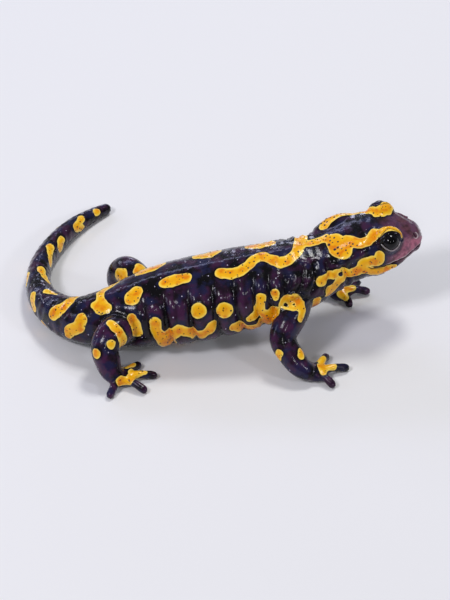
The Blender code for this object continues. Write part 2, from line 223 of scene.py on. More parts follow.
# The forms, as in the solids. Body: x, y, z of the section's middle, half width, rise and drop.
forms = {
    "body": [
        (70.7, 0.9, 29.1, 6.3, 3.9, 4.1),  # nostrils
        (67.2, 0.9, 29.4, 8.8, 5.5, 6.2),
        (61.8, 0.9, 29.4, 10.3, 7.3, 8.5),  # eyes
        (55.7, 0.8, 28.6, 11.7, 8.0, 9.8),
        (49.8, 0.2, 27.1, 11.9, 8.0, 9.4),  # corners of the jaw
        (44.4, -0.9, 25.3, 11.2, 8.1, 9.6),
        (39.5, -2.0, 23.9, 11.0, 8.8, 10.6),  # neck
        (33.0, -3.1, 22.2, 12.3, 10.3, 12.0),  # shoulders
        (25.0, -3.6, 20.4, 13.4, 11.4, 12.4),
        (15.0, -3.0, 18.4, 14.2, 12.2, 12.7),
        (4.0, -2.5, 16.4, 14.5, 12.5, 13.0),  # belly
        (-7.0, -2.1, 14.7, 14.1, 12.4, 12.8),
        (-16.0, -2.0, 13.3, 13.0, 11.8, 12.2),
        (-23.5, -2.1, 12.0, 11.4, 10.7, 11.0),  # pelvis
        (-30.5, -1.3, 10.6, 9.4, 9.2, 9.1),  # root of the tail
        (-37.0, 0.4, 9.0, 8.0, 8.0, 8.0),
        (-42.6, 4.6, 7.3, 6.8, 6.9, 7.2),
        (-47.0, 11.0, 6.0, 5.7, 6.0, 6.2),
        (-49.6, 19.0, 5.0, 4.8, 5.2, 5.2),
        (-49.6, 28.0, 4.4, 4.2, 4.6, 4.6),
        (-47.3, 36.9, 3.9, 3.8, 4.1, 4.1),
        (-42.8, 45.3, 3.5, 3.5, 3.7, 3.7),
        (-36.6, 53.3, 3.1, 3.1, 3.3, 3.3),
        (-28.6, 60.4, 2.5, 2.5, 2.6, 2.7),
        (-21.2, 65.0, 1.9, 1.9, 2.0, 2.1),  # tail tip
    ],
    "bodyEnds": (3.1, 2.0),  # how far the rounded ends reach past the first and last sections
    # Each limb from inside the body outwards: x, y, z, half width and half thickness.
    "limbEnds": (1.0, 1.0),  # their rounded ends
    "rightArm": [
        (31.0, -8.0, 19.6, 5.6, 6.4), (29.0, -14.8, 17.0, 5.1, 5.6),  # shoulder
        (24.8, -20.6, 13.6, 4.6, 4.8), (23.4, -22.6, 11.2, 4.3, 4.3),  # elbow
        (25.0, -26.2, 8.0, 4.1, 4.1), (28.2, -30.4, 4.6, 3.6, 3.4),  # wrist
        (31.0, -31.2, 3.0, 3.6, 2.6),
    ],
    "leftArm": [
        (30.5, 4.0, 19.0, 5.2, 5.6), (31.4, 11.5, 16.6, 4.9, 5.0), (34.2, 17.4, 12.8, 4.5, 4.5),
        (36.6, 18.6, 10.4, 4.2, 4.2), (40.8, 16.0, 7.4, 4.0, 4.0), (45.2, 11.6, 4.4, 3.5, 3.3),
        (47.6, 9.4, 3.0, 3.5, 2.6),
    ],
    "rightLeg": [
        (-22.4, -4.5, 12.0, 6.0, 6.4), (-28.0, -10.4, 13.0, 5.4, 5.6),  # thigh
        (-32.6, -14.6, 13.2, 4.9, 5.0), (-34.2, -16.6, 11.4, 4.6, 4.7),  # knee
        (-33.8, -19.6, 7.6, 4.2, 4.3), (-32.4, -22.0, 4.4, 3.7, 3.4),  # ankle
        (-30.6, -22.4, 3.0, 3.7, 2.6),
    ],
    "leftLeg": [
        (-16.8, 3.0, 12.6, 6.0, 6.4), (-19.2, 11.4, 14.4, 5.1, 5.6), (-21.8, 16.8, 14.4, 4.5, 4.8),
        (-23.2, 18.8, 12.2, 4.2, 4.4), (-23.8, 19.6, 8.2, 4.0, 4.1), (-23.4, 19.6, 4.6, 3.6, 3.4),
        (-21.4, 18.8, 3.0, 3.6, 2.6),
    ],
    # Palm middle x, y, and its digits, inner to outer: heading from +X towards +Y, and reach.
    "hands": [
        (33.0, -30.6, [(112.0, 7.0), (58.0, 10.6), (8.0, 11.8), (-54.0, 8.8)]),
        (48.8, 8.2, [(-72.0, 7.6), (-2.0, 10.2), (34.0, 9.4), (74.0, 7.0)]),
        (-30.2, -22.2, [(84.0, 6.8), (41.0, 10.6), (1.0, 12.6), (-43.0, 10.8), (-122.0, 9.6)]),
        (-20.8, 18.6, [(-62.0, 6.8), (-26.0, 9.8), (6.0, 11.4), (38.0, 10.2), (74.0, 7.6)]),
    ],
    "palm": (4.3, 4.0, 2.3),  # half length, half width and half thickness
    # A digit's root, middle and plump clawless tip: share of its reach, radius and lift.
    "digit": [(0.1, 1.75, 0.3), (0.5, 1.4, 1.3), (1.0, 1.5, 0.0)],
    "sink": 0.28,  # soles and tail reach this far below the floor before they are laid flat
    "brow": (8.8, 42.0, 0.6),  # the swelling over an eye: station, angle, depth below the skin
    "browSize": (4.6, 3.9, 3.9),
    "gland": (22.5, 44.0, 2.0),  # the parotoid behind it
    "glandSize": (8.0, 4.8, 3.1),
    "nostril": (0.1, 38.0, 0.0),
}
eyes = {
    "radius": 3.2,
    "out": 1.5,  # the eye's middle from the swelling's
    "down": 0.4,
    "gaze": (0.12, 0.80, 0.54),  # where it looks: forward, outward and up
    "opening": (66.0, 49.0, 56.0),  # between the lids: half width, above and below, in degrees
    "usual": 45.0,  # a usual half width of the opening, to turn shares of it into distances
    "cornea": (0.3, 32.0),  # how far it stands out, and its half angle
}
lids = {
    "thickness": 0.16,  # at their edges
    "slope": 1.1,  # how fast they thicken away from their edges
    "behind": 0.55,  # how far the skin between them drops behind the eye's surface
    "creases": ((0.36, 1.65, 0.28), (0.16, 1.1, 0.3)),  # above and below: depth, place and width
    "reach": (1.9, 2.6),  # how far off the ball and past the edge of the opening they go
}
body = Tube(forms["body"], forms["bodyEnds"])
limbNames = ("rightArm", "leftArm", "rightLeg", "leftLeg")
limbs = {name: Tube(forms[name], forms["limbEnds"]) for name in limbNames}
headMiddle, _, headForward, headRight, headUp = (v[0] for v in body.frames(forms["brow"][0]))


def onForm(name, side):
    # The middle of a swelling or a nostril on one side of the head.
    station, angle, depth = forms[name][:3]
    return body.surface(station, angle * side, -depth)[0]


def eyePlace(side):
    return onForm("brow", side) + headRight * side * eyes["out"] - headUp * eyes["down"]


def eyeAxes(side):
    # Directions of the gaze, and along and across the opening of the lids.
    ahead, outward, upward = eyes["gaze"]
    gaze = unit(headForward * ahead + headRight * side * outward + headUp * upward)
    along = unit(headForward - gaze * np.dot(headForward, gaze))
    across = np.cross(gaze, along) * side
    return gaze, along, across * np.sign(np.dot(across, headUp))


skin = {
    "grid": 0.66,  # spacing of the mesh, before the head, hands and feet are made finer
    "rings": 0.6,  # spacing of the rings of the forms that it is merged from
    "around": {"body": 96, "limb": 40, "digit": 20},  # points on each ring
    "capAngles": [22, 42, 60, 75, 85],  # rings that round off a form's ends
    "softening": (5, 2),  # rounds after the merging and after the refining
    "lidBall": 3.78,  # radius of the fleshy ball that the lids are shaped from
}


def addTube(bm, tube, around):
    turns = np.sin(np.radians(skin["capAngles"]))
    count = max(2, round(tube.length / skin["rings"]))
    level = np.linspace(0.0, tube.length, count + 1)
    first, last = tube.ends
    stations = np.concatenate((-first * turns[::-1], level, tube.length + last * turns))
    angles = np.arange(around) * 360 / around
    grid = tube.surface(np.repeat(stations, around), np.tile(angles, len(stations)))
    points = [bm.verts.new(point) for point in grid]
    rings = [points[i * around : (i + 1) * around] for i in range(len(stations))]
    tips = [bm.verts.new(tip) for tip in tube.frames([-first, tube.length + last])[0]]
    for k in range(around):
        for one, two in zip(rings, rings[1:]):
            bm.faces.new((one[k], one[k - 1], two[k - 1], two[k]))
        bm.faces.new((tips[0], rings[0][k - 1], rings[0][k]))
        bm.faces.new((tips[1], rings[-1][k], rings[-1][k - 1]))


def addBall(bm, middle, radii, axes=np.eye(3)):
    # An ellipsoid whose radii run along the forward, right and up directions given.
    turn = Matrix([Vector(axis) for axis in axes]).transposed().to_4x4()
    place = Matrix.Translation(Vector(middle)) @ turn @ Matrix.Diagonal((*radii, 1.0))
    bmesh.ops.create_icosphere(bm, subdivisions=4, radius=1.0, matrix=place)


def heading(degrees):
    # The level direction at an angle from +X towards +Y.
    return np.array([math.cos(math.radians(degrees)), math.sin(math.radians(degrees)), 0.0])


def addHand(bm, palm):
    # The palm and its plump digits, which arch a little and lie flat at their tips.
    x, y, spread = palm
    sink, size, digit = forms["sink"], forms["palm"], forms["digit"]
    along, up = heading(spread[len(spread) // 2][0]), (0.0, 0.0, 1.0)
    addBall(bm, (x, y, size[2] - sink), size, (along, np.cross(along, up), up))
    root, tip = digit[0][1], digit[-1][1]
    for degrees, reach in spread:
        rows = []
        for share, radius, lift in digit:
            place = (x, y) + heading(degrees)[:2] * (reach - tip) * share
            rows.append((*place, radius - sink + lift, radius, radius))
        addTube(bm, Tube(rows, (root, tip)), skin["around"]["digit"])


def makeFlesh():
    # Body, limbs, digits and swellings, merged into one closed form.
    bm = bmesh.new()
    addTube(bm, body, skin["around"]["body"])
    for side in bothSides:
        for name in ("gland", "brow"):
            axes = [part[0] for part in body.frames(forms[name][0])[2:]]
            addBall(bm, onForm(name, side), forms[name + "Size"], axes)
        addBall(bm, eyePlace(side), (skin["lidBall"],) * 3)
    for name, palm in zip(limbNames, forms["hands"]):
        addTube(bm, limbs[name], skin["around"]["limb"])
        addHand(bm, palm)
    bmesh.ops.recalc_face_normals(bm, faces=bm.faces)
    made = meshObject("salamanderSkin", bm)
    merge = made.modifiers.new("merge", "REMESH")
    merge.mode, merge.voxel_size, merge.adaptivity = "VOXEL", skin["grid"], 0.0
    soften(made, skin["softening"][0])
    return made


finer = {
    # The skin's mesh is halved over the head, hands and feet, and again round the face's details.
    "headFrom": 46.5,  # the head is ahead of this x and above this height
    "headAbove": 14,
    "handReach": 14.5,
    "handBelow": 5.2,
    "eyeReach": 4.9,
    "nostrilReach": 1.5,
    "lipReach": 0.9,
    "lipFrom": 50,
}


def refine(mesh, chooses):
    # Each edge whose two ends are chosen is halved.
    chosen = chooses(readVectors(mesh.vertices, "co"))
    bm = bmesh.new()
    bm.from_mesh(mesh)
    bm.verts.ensure_lookup_table()
    edges = [e for e in bm.edges if chosen[e.verts[0].index] and chosen[e.verts[1].index]]
    bmesh.ops.subdivide_edges(bm, edges=edges, cuts=1, use_grid_fill=True)
    bmesh.ops.triangulate(bm, faces=[f for f in bm.faces if len(f.verts) > 4])
    bm.to_mesh(mesh)
    bm.free()


def distances(points, place):
    return np.linalg.norm(points - np.asarray(place), axis=1)


def onHead(points):
    return points[:, 0] > finer["headFrom"]


def chooseHeadAndHands(points):
    chosen = onHead(points) & (points[:, 2] > finer["headAbove"])
    for x, y, _ in forms["hands"]:
        reach = np.hypot(points[:, 0] - x, points[:, 1] - y)
        chosen |= (reach < finer["handReach"]) & (points[:, 2] < finer["handBelow"])
    return chosen


mouth = {
    # Height of the lip line at stations from the snout back to its corner.
    "stations": (-4.0, -1.0, 1.0, 3.0, 6.0, 9.5, 13.5, 17.0, 18.8),
    "heights": (29.0, 28.8, 28.1, 27.4, 26.7, 25.9, 25.9, 26.6, 28.1),
    "depth": 0.75,
    "width": 0.34,
    "corner": 1.2,  # length over which it dies away
    "lip": (0.2, 0.8, 0.55),  # how far the upper lip swells, its height over the line, its width
    "chin": 1.2,  # how much fuller the lower jaw is than the merged forms
}
nostrils = {"radius": 0.7, "depth": 1.1, "rim": 0.14}


def lipGap(points, stations):
    # Height above the lip line, and how much of the mouth there is at each point.
    level = np.interp(stations, mouth["stations"], mouth["heights"])
    end = mouth["stations"][-1]
    return points[:, 2] - level, 1 - smooth(end - mouth["corner"], end, stations)


def chooseFaceDetail(points):
    chosen = np.zeros(len(points), bool)
    for side in bothSides:
        chosen |= distances(points, eyePlace(side)) < finer["eyeReach"]
        chosen |= distances(points, onForm("nostril", side)) < finer["nostrilReach"]
    gap, present = lipGap(points, forms["brow"][0] - (points - headMiddle) @ headForward)
    lips = (np.abs(gap) < finer["lipReach"]) & (present > 0) & (points[:, 0] > finer["lipFrom"])
    return chosen | lips


def onSkin(tree, tube, s, angle):
    # The skin's point at a station and angle. Where a limb is in the way, the form's own surface.
    middle, outer = tube.frames(s)[0][0], tube.surface(s, angle)[0]
    reach = np.linalg.norm(outer - middle)
    way = Vector(outer - middle).normalized()
    hit, _, _, distance = tree.ray_cast(Vector(middle), way)
    return outer if hit is None or distance > reach * 1.5 + 0.5 else np.array(hit)


def chainDistance(points, places, radii):
    # Distance to a chain of rounded cones; negative inside it.
    if len(places) == 1:
        return distances(points, places[0]) - radii[0]
    best = np.full(len(points), 1e3)
    for a, b, start, end in zip(places, places[1:], radii, radii[1:]):
        along = b - a
        t = np.clip(((points - a) @ along) / max(along @ along, 1e-9), 0.0, 1.0)
        gap = np.linalg.norm(points - a - t[:, None] * along, axis=1)
        best = np.minimum(best, gap - start - (end - start) * t)
    return best


def lineDistance(points, tree, path, side):
    # Distance to a line on the skin through stations and angles of the body.
    places = [onSkin(tree, body, s, angle * side) for s, angle in path]
    return chainDistance(points, places, [0.0] * len(places))


folds = {
    # The twelve grooves down each flank: station and depth.
    "costal": [
        (45.2, 0.7), (50.3, 0.9), (54.6, 0.9), (57.9, 0.25), (61.3, 1.0), (65.0, 0.25),
        (68.8, 1.0), (73.0, 0.3), (77.2, 1.1), (81.4, 0.3), (85.6, 1.0), (92.2, 0.7),
    ],
    "costalWidth": 0.8,
    "costalRise": 0.95,  # how far the flank swells between the deep ones
    "shallow": 0.4,  # grooves no deeper than this are narrow, and the flank swells on past them
    "ripple": 0.09,  # a slow unevenness of the whole skin
    "joint": 0.3,  # depth of the crease where a limb leaves the body
    "lips": 0.32,  # how far the skin stands up beside a single fold, as a share of its depth
    "tail": (113.0, 176.0, 18),  # first and last groove down the sides of the tail, and how many
    "tailDepth": 0.13,
    "ridge": (0.3, 1.6),  # height and half width of the ridge along the back
    # Single folds on the body: depth, half width, and stations and angles along them.
    "single": [
        (0.7, 0.5, [(45.4, 72), (45.6, 58), (46.4, 44)]),
        (0.6, 0.45, [(44.6, 70), (43.4, 58), (42.6, 46)]),
        (0.6, 0.45, [(44.2, 74), (42.2, 66), (40.0, 62)]),
        (0.9, 0.6, [(27.5, 62), (27.2, 92), (27.8, 115), (28.6, 140), (29.0, 165), (29.0, 180)]),
        (1.0, 0.6, [(31.5, 42), (32.0, 66), (33.2, 84), (34.8, 98)]),
        (1.1, 0.6, [(35.0, 36), (35.8, 60), (37.2, 76), (39.0, 88)]),
        (0.95, 0.6, [(38.5, 34), (40.0, 56), (41.0, 70), (42.0, 80)]),
        (0.7, 0.5, [(44.5, 46), (44.2, 60), (43.8, 72)]),
        (0.3, 0.35, [(37.0, 96), (40.0, 92), (42.5, 88)]),
        (0.3, 0.35, [(36.0, 106), (39.5, 101), (42.0, 95)]),
    ],
    # Soft lines on the face: height, half width, and stations and angles along them.
    "face": [
        (0.5, 0.6, [(5.2, 50), (2.6, 45), (1.0, 40)]),  # ridge from the eye to the nostril
        (-0.3, 1.5, [(4.6, 74), (2.2, 68)]),  # the hollow below it
        (-0.3, 0.8, [(14, 62), (18, 66), (24, 64)]),  # between the gland and the crown
    ],
    "paleRidge": [(4.6, 49), (2.8, 45.5), (1.5, 41.5)],  # where the ridge catches a light
}


def costalRelief(s, angle):
    # Depth of the costal grooves, and how full the flank is between the deep ones.
    lean = s + 0.5 * np.sin(np.radians(angle * 3.5)) + 0.25 * np.sin(s * 0.9)
    groove, full = np.zeros((2, len(s)))
    for place, depth in folds["costal"]:
        width = folds["costalWidth"] * (0.6 if depth < folds["shallow"] else 1.0)
        groove += depth * dip(lean - place, width)
    deep = [place for place, depth in folds["costal"] if depth > folds["shallow"]]
    for first, last in zip(deep, deep[1:]):
        full += np.sin(np.pi * np.clip((lean - first) / (last - first), 0.0, 1.0)) ** 0.8
    top = np.where(angle > 0, 22, 50)  # they begin higher up on the right flank
    flank = band(np.abs(angle), top, top + 32, 118, 150) * band(s, 42, 46, 92, 98)
    return groove * flank, full * flank


def bodyFolds(s, angle, outside):
    # Costal and tail grooves, and the ridge along the back.
    turned = np.abs(angle)
    groove, full = costalRelief(s, angle)
    total = folds["costalRise"] * full - groove
    total += folds["ripple"] * np.sin(s * 1.55 + angle * 0.045) * np.sin(s * 0.7 - angle * 0.1)
    first, last, count = folds["tail"]
    spacing = (last - first) / (count - 1)
    past = s + (0.35 * np.sin(s * 0.9) + 0.2 * np.sin(s * 2.1)) - first
    gap = past - spacing * np.clip(np.round(past / spacing), 0, count - 1)
    sides = band(turned, 30, 60, 120, 150) * band(s, 110, 116, 168, 180)
    total -= folds["tailDepth"] * dip(gap, spacing * 0.26) * sides
    height, width = folds["ridge"]
    arc = np.radians(turned) * np.interp(s, (0, 60, 120, 190), (8.0, 12.5, 7.0, 2.2))
    total += height * dip(arc, width) * band(s, 27, 36, 150, 172)
    return total * (1 - smooth(0.8, 2.2, outside))


def sculpt(mesh):
    # Moves the skin along its normals for the folds, mouth and nostrils, and shapes the lids.
    points, normals = readVectors(mesh.vertices, "co"), readVectors(mesh.vertex_normals, "vector")
    s, angle, outside = body.coordinates(points)
    reach = {name: tube.coordinates(points) for name, tube in limbs.items()}
    offset = bodyFolds(s, angle, outside)
    tree = makeTree(mesh, points)
    onBody = 1 - smooth(0.8, 2.4, outside)
    furrowShade = np.zeros(len(points))
    # Each single fold, with painted shade along its groove.
    for depth, width, path in folds["single"]:
        for side in bothSides:
            away = lineDistance(points, tree, path, side)
            relief = folds["lips"] * dip(away - 2.4 * width, 1.1 * width) - dip(away, width)
            offset += depth * onBody * relief
            furrowShade = np.maximum(furrowShade, onBody * min(depth, 1.0) * dip(away, 0.8 * width))
    # A crease where each limb leaves the body, with painted shade in it.
    for _, _, out in reach.values():
        joint = dip(outside - 0.2, 1.0) * dip(out - 0.2, 1.0)
        offset -= folds["joint"] * joint
        furrowShade = np.maximum(furrowShade, joint)
    # The mouth: a groove, a soft upper lip over it and a fuller lower jaw below it.
    gap, present = lipGap(points, s)
    face = present * onHead(points) * (np.abs(outside) < 3.0)
    offset -= mouth["depth"] * dip(gap, mouth["width"]) * face * (1 - 0.4 * smooth(9.0, 13.0, s))
    swell, over, width = mouth["lip"]
    offset += swell * dip(gap - over, width) * face
    jaw = smooth(0.1, 2.0, -gap) * (1 - smooth(12, 21, s)) * onHead(points)
    jaw *= 0.3 + 0.7 * smooth(1.0, 8.0, s)
    offset += mouth["chin"] * jaw * (1 - smooth(2.0, 3.0, np.abs(outside)))
    for side in bothSides:
        for height, width, path in folds["face"]:
            offset += height * dip(lineDistance(points, tree, path, side), width)
        away = lineDistance(points, tree, [forms["nostril"][:2]], side)
        offset -= nostrils["depth"] * dip(away, nostrils["radius"])
        offset += nostrils["rim"] * dip(away - nostrils["radius"] * 1.7, 0.35)
    points = points + normals * offset[:, None]
    for side in bothSides:
        points = shapeLids(points, side)
    points[:, 2] = np.maximum(points[:, 2], 0.0)
    mesh.vertices.foreach_set("co", points.astype(np.float32).ravel())
    mesh.update()
    return s, angle, outside, reach, furrowShade


def lidGap(points, side):
    # Distance along the eye's ball from the edge of its opening: negative between the lids.
    gaze, along, across = eyeAxes(side)
    away = unit(points - eyePlace(side))
    ahead = away @ gaze
    forward = np.maximum(ahead, 1e-3)
    reach, level = (np.degrees(np.arctan2(away @ way, forward)) for way in (along, across))
    wide, above, below = eyes["opening"]
    high = np.where(level > 0, above, below)
    ratio = np.sqrt((reach / wide) ** 2 + (level / high) ** 2)
    gap = (ratio - 1) * math.radians(eyes["usual"]) * eyes["radius"]
    return np.where(ahead > 0, gap, 9.0), level


def shapeLids(points, side):
    # Between the lids the skin drops behind the eye; round them it thins towards the lids' edges.
    middle, radius = eyePlace(side), eyes["radius"]
    away, distance = points - middle, distances(points, middle)
    gap, level = lidGap(points, side)
    above, below = (depth * dip(gap - place, width) for depth, place, width in lids["creases"])
    lid = radius + lids["thickness"] + lids["slope"] * np.maximum(gap, 0.0)
    lid = np.maximum(np.minimum(distance, lid), radius + 0.12)
    creased = np.maximum(lid - np.where(level > 0, above, below), radius + 0.1)
    target = np.where(gap > 0, creased, np.where(gap < 0, radius - lids["behind"], lid))
    outward, past = lids["reach"]
    close = (distance < radius + outward) & (gap < past)
    moved = middle + away / distance[:, None] * target[:, None]
    return np.where(close[:, None], moved, points)


flesh = makeFlesh()
print("flesh merged:", len(flesh.data.vertices), "points")
for chooses in (chooseHeadAndHands, chooseFaceDetail):
    refine(flesh.data, chooses)
soften(flesh, skin["softening"][1])
triangles = sum(len(p.vertices) - 2 for p in flesh.data.polygons)
print("skin refined:", len(flesh.data.vertices), "points,", triangles, "triangles")
station, angle, outside, limbReach, furrowShade = sculpt(flesh.data)
points = readVectors(flesh.data.vertices, "co")
skinTree = makeTree(flesh.data, points)
print("skin sculpted")

# Markings as chains of round blots: station, angle and radius. Positive angles are the right flank.
bodyMarkings = [
    # tail
    [(186.3, -36, 1.45)], [(179, -27, 1.3), (177, -42, 1.1), (174.9, -58, 1.6), (177.6, -92, 1.2)],
    [(165.2, -48, 1.5), (163.4, -58, 1.7), (162.2, -74, 1.6)],
    [(158.4, -18, 1.5), (156, -32, 1.2), (151, -66, 1.1)],
    [(144.2, -12, 1.5), (140.5, -22, 1.2), (136.5, -38, 0.8)], [(128.6, 3, 1.2), (124.4, -6, 0.7)],
    [(143.6, 62, 1.4), (140.8, 74, 1.3)], [(131.8, 58, 1.9), (129.4, 84, 1.7)],
    [(125, 112, 1.1), (122.5, 120, 0.8)],
    [(119.2, 52, 2.5), (116.8, 30, 2.2), (115.4, 4, 2.0), (115.2, -18, 1.9)],
    [(110, 52, 2.1), (111, 72, 2.2), (113.6, 86, 2.0), (114.5, 104, 1.4)],
    [(99, -30, 1.2), (102, -24, 1.7), (104.4, -14, 1.5), (104.2, 8, 1.5), (104.2, 25, 2.4)],
    [(104.2, 25, 2.2), (106.2, 18, 1.3)], [(104, 27, 2.2), (102.4, 32, 1.6)],
    # back
    [(93, 14, 2.2), (94.6, 22, 2.7)], [(83.4, 14, 2.0), (80, 13, 2.3), (76.2, 13, 1.9)],
    [(64.5, 17, 2.1), (61, 22, 2.1), (58, 21, 1.9), (55, 14, 1.8), (52.5, 5, 1.8), (50, 2, 1.7)],
    [(50, 2, 1.7), (47, 11, 2.0), (45, 18, 2.2), (42.5, 18, 1.9), (40, 12, 1.7), (38, 4, 1.7)],
    [(38, 4, 1.7), (36, -8, 2.1), (33, -5, 1.8), (30, -5, 1.7), (27, -4, 1.9), (25, 4, 2.2)],
    # right flank
    [(96, 59, 1.7), (95.6, 71, 1.9), (95.6, 86, 1.8)],
    [(89.8, 71, 2.0), (90.4, 84, 2.0), (89.2, 95, 2.2), (87.5, 106, 2.8), (86.8, 118, 2.8)],
    [(87, 104, 2.3), (84.5, 95, 2.2), (82, 89, 2.2), (78.8, 96, 1.8), (76, 106, 2.0)],
    [(76, 106, 2.0), (73.2, 101, 1.7), (70.8, 91, 1.9)], [(74.5, 65, 2.7)], [(66, 72, 2.8)],
    [(63.6, 103, 2.2), (61, 114, 2.3), (57.2, 120, 2.2), (53.8, 113, 2.3), (51, 103, 2.1)],
    [(53, 67, 1.8), (54, 80, 1.7), (55, 90, 1.9), (58, 94, 1.5)],
    [(55, 90, 1.7), (52, 95, 1.8), (49.6, 94, 1.7), (48, 104, 1.6)],
    [(48.8, 65, 1.7), (48.9, 72, 1.1)], [(44, 84, 1.8), (43, 92, 1.6)],
    # head and throat, right
    [(24.9, 11, 3.0), (24.9, 24, 3.6), (24.3, 33, 3.1), (22, 22, 2.9), (18.5, 34, 1.8)],
    [(18.5, 34, 1.8), (15.5, 38, 1.7), (13.8, 33, 1.7), (12.6, 25, 1.5)],
    [(13, 77, 1.8), (13.5, 88, 2.0), (16, 80, 1.7), (19.5, 78, 1.8), (21, 85, 1.9), (23, 89, 1.8)],
    [(21, 90, 1.7), (19.5, 95, 1.6), (17, 106, 1.6), (14, 114, 1.5), (11, 119, 1.3),
     (7.5, 124, 0.9)],
    [(23, 89, 1.7), (26, 85, 1.6), (28, 81, 2.4), (30, 74, 1.7), (32.5, 71, 1.3), (35, 74, 2.0)],
    [(29.5, 90, 1.3), (33, 102, 2.0), (34, 108, 1.8)], [(38.2, 110, 1.7), (39, 125, 1.5)],
    # left of the back
    [(90, -27, 2.1), (86, -27, 2.7), (83.6, -33, 2.1)],
    [(70.8, -27, 2.1), (67.5, -25, 2.8), (65, -31, 2.3)],
    [(53.5, -27, 1.8), (50, -27, 2.6), (46.5, -30, 2.3)],
    [(36, -8, 2.0), (34.5, -28, 2.1), (34, -46, 2.2), (36.5, -62, 1.9)],
    # left of the head
    [(25, -33, 1.9), (22.5, -41, 2.8), (19, -43, 2.4), (16, -44, 1.7), (13.5, -41, 1.6)],
    [(13.5, -41, 1.5), (12, -28, 1.4), (10.5, -20, 1.4), (9, -17, 1.7), (7, -20, 1.6)],
    [(13, -80, 1.9), (14, -90, 2.0), (17, -83, 1.7), (20, -80, 1.8), (23, -86, 1.8)],
    [(22, -94, 1.6), (18, -110, 1.5), (13, -120, 1.2), (9, -125, 0.9)],
    [(28, -78, 1.8), (31, -88, 2.2), (30, -102, 1.5)],
    # left flank
    [(90, -72, 1.7), (93, -84, 1.9), (91, -98, 2.0), (87, -107, 2.3), (84, -94, 1.9),
     (80, -89, 1.8)],
    [(78, -60, 2.6)], [(69, -72, 2.8)], [(72, -106, 1.9), (68, -112, 2.1), (64, -103, 1.8)],
    [(60, -66, 2.1), (58, -80, 1.8), (55.5, -90, 2.1)], [(50.5, -64, 1.9), (50, -78, 1.5)],
    [(45, -104, 1.8), (48, -112, 1.6)], [(110, -48, 1.9), (108, -66, 2.2), (111, -84, 1.7)],
    [(98, -52, 1.8), (97, -66, 2.1)], [(121, -62, 2.0), (124, -86, 1.6)],
    [(134, -72, 1.6), (131, -94, 1.4)], [(170, 62, 1.4), (172, 84, 1.1)],
    [(155, 84, 1.3), (151, 96, 1.1)],
    # belly and chin
    [(83, 168, 2.5), (79, 176, 1.8)], [(66, -160, 2.4)], [(52, 172, 2.0), (49, 160, 1.6)],
    [(15, 168, 2.4), (18, 156, 1.8)], [(22, -150, 2.3), (26, -160, 1.8)], [(105, 175, 2.0)],
    [(136, 150, 1.6), (139, 160, 1.2)],
]
markings = {
    "body": bodyMarkings,
    "rightArm": [
        [(9.8, -32, 1.6), (9.5, -20, 2.3), (9.2, 4, 2.5), (9.0, 26, 2.1), (9.6, 48, 1.6),
         (12, 62, 1.1)],
        [(22.8, -78, 1.5), (23.4, -98, 1.4)], [(26, 30, 1.4), (27.4, 8, 1.3)], [(16, 150, 1.7)],
    ],
    "leftArm": [
        [(9, -22, 1.8), (10.6, 0, 2.1), (10, 24, 1.6)], [(17, -70, 1.6), (19, -48, 1.4)],
        [(26, 10, 1.4), (28, -20, 1.2)],
    ],
    "rightLeg": [
        [(12.8, 0, 1.4), (13.1, 22, 1.6), (13.0, 42, 1.4), (13.2, 68, 1.3)],
        [(13.0, 68, 1.3), (13.0, 96, 1.8), (13.2, 118, 1.5)], [(16.8, 44, 1.6)], [(19.4, -54, 1.7)],
    ],
    "leftLeg": [
        [(13, 96, 2.0), (12.4, 80, 2.4), (10.8, 62, 2.1)], [(9.2, -12, 1.9), (8, 6, 1.5)],
        [(14.5, -50, 1.8), (17, -70, 1.5)], [(21, 20, 1.5)],
    ],
    # Round the eyes: turn from the front over the top, distance past the lid's edge, and radius.
    "rightLid": [
        [(18, 1.35, 0.8), (40, 1.7, 1.25), (65, 2.0, 1.6), (95, 2.1, 1.6), (125, 2.2, 1.6),
         (150, 3.0, 1.5)],
    ],
    "leftLid": [
        [(15, 1.4, 0.7), (40, 1.6, 1.2), (68, 1.9, 1.3)],
    ],
    # On the left lid and the hands: x, y, z and radius.
    "places": [
        [(59.6, 4.4, 36.6, 1.4), (61.2, 5.2, 37.4, 1.8), (63.7, 6.4, 37.7, 2.0),
         (65.0, 8.0, 36.6, 1.4)],
        [(34.5, -26.2, 3.2, 1.2), (36.4, -25.6, 3.3, 1.3), (35.6, -29.6, 3.9, 1.8),
         (38.6, -30.3, 3.5, 1.4)],
        [(35.4, -30.8, 3.8, 1.7), (35.0, -33.1, 3.7, 1.1)],
        [(50.5, 6.8, 3.9, 1.3), (52.8, 7.8, 3.6, 1.2)],
        [(48.6, 5.2, 3.5, 1.5), (49.6, 3.6, 3.1, 1.2)],
        [(-30.5, -25.7, 3.6, 1.8), (-28.1, -25.6, 3.3, 1.6), (-25.8, -23.6, 3.3, 1.6)],
        [(-25.8, -21.8, 3.7, 1.7), (-23.6, -22.5, 3.6, 1.3), (-22.2, -22.3, 3.4, 1.2)],
        [(-28.0, -19.0, 3.6, 1.1), (-25.2, -17.8, 3.3, 1.1)],
        [(-20.4, 20.4, 3.6, 1.5), (-17.2, 18.9, 3.4, 1.3), (-16.0, 21.6, 3.0, 1.2)],
    ],
}
# Dark spots inside the markings.
darkSpots = {
    "body": [[(28.7, 77, 0.85)]],
    "rightArm": [[(10.3, -17, 0.7)], [(9.3, 7, 0.5)]],
}
blend = 0.4  # how softly neighbouring blots run together, in millimetres
straying = {
    # How far off their own form the markings keep, and how fast they shrink past it.
    "body": (6.0, 1.3),  # on the head and behind it
    "limb": 1.9,
    "fading": 1.5,
}


